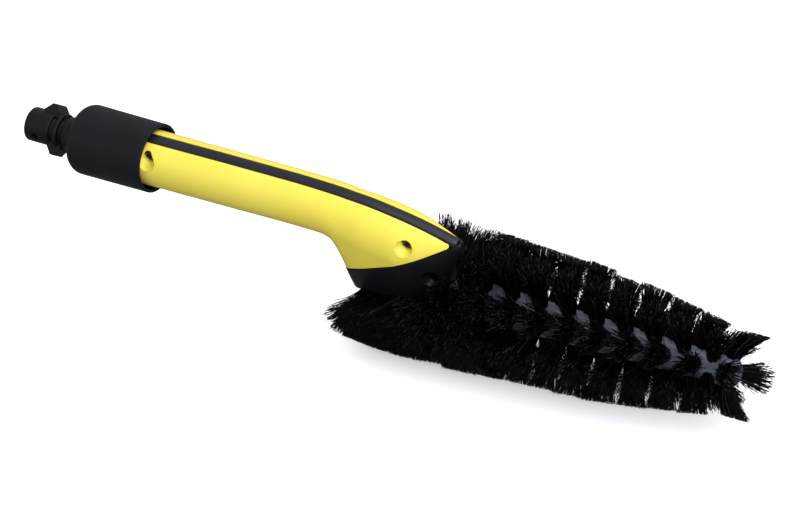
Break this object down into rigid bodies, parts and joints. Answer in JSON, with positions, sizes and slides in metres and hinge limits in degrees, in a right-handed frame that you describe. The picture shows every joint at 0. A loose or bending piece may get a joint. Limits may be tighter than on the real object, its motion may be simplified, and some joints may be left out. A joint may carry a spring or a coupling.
{
  "type": "wheel brush",
  "caption": "Hand-held water-fed wheel washing brush: bayonet inlet with swivelling collar, two-shell handle and a long tapered tufted brush.",
  "frame": {"origin": "middle of the foot of the overall box, with the brush lying on its bristles and the handle's spine up", "axes": "+X from the bayonet inlet towards the tip of the brush, +Z out of the handle's spine, +Y completes the right-handed frame"},
  "size_m": [0.4314, 0.0784, 0.0972],
  "materials": {
    "yellow_plastic": "fine satin moulded plastic",
    "black_plastic": "fine matt moulded plastic",
    "white_plastic": "smooth natural acetal",
    "seal_rubber": "smooth",
    "bristle": "crimped synthetic filament",
    "steel": "zinc plated"
  },
  "bodies": {
    "handle": {"handle_shell_left": "yellow_plastic", "handle_shell_right": "yellow_plastic", "spine_strip": "black_plastic", "swivel_spigot": "black_plastic", "swivel_o_ring_rear": "seal_rubber", "swivel_o_ring_front": "seal_rubber", "thrust_washer": "white_plastic", "swivel_retaining_ring": "white_plastic", "water_tube": "black_plastic", "tube_o_ring_rear": "seal_rubber", "tube_o_ring_front": "seal_rubber", "head_base_left": "black_plastic", "head_base_right": "black_plastic", "brush_core": "black_plastic", "core_end_plug": "black_plastic", "handle_screw_rear": "steel", "handle_screw_front": "steel", "base_screw": "steel", "tuft_ring_01": "bristle", "tuft_ring_02": "bristle", "tuft_ring_03": "bristle", "tuft_ring_04": "bristle", "tuft_ring_05": "bristle", "tuft_ring_06": "bristle", "tuft_ring_07": "bristle", "tuft_ring_08": "bristle", "tuft_ring_09": "bristle", "tuft_ring_10": "bristle", "tuft_ring_11": "bristle", "tuft_ring_12": "bristle", "tuft_ring_13": "bristle", "tuft_ring_14": "bristle", "tuft_ring_15": "bristle", "tuft_ring_16": "bristle", "tuft_ring_17": "bristle", "tuft_ring_18": "bristle", "tuft_ring_19": "bristle", "tuft_ring_20": "bristle", "tuft_ring_21": "bristle", "tuft_ring_22": "bristle", "tuft_ring_23": "bristle", "tuft_ring_24": "bristle", "tuft_ring_25": "bristle", "tuft_ring_26": "bristle"},
    "coupling": {"bayonet_inlet": "black_plastic", "coupling_collar": "black_plastic", "collar_retaining_ring": "steel", "swivel_snap_ring": "steel"}
  },
  "joints": [
    {"name": "inlet_swivel", "type": "hinge", "parent": "handle", "child": "coupling", "pos_m": [-0.16116, 0, 0.07796], "axis": [1, 0, 0], "continuous": true}
  ]
}
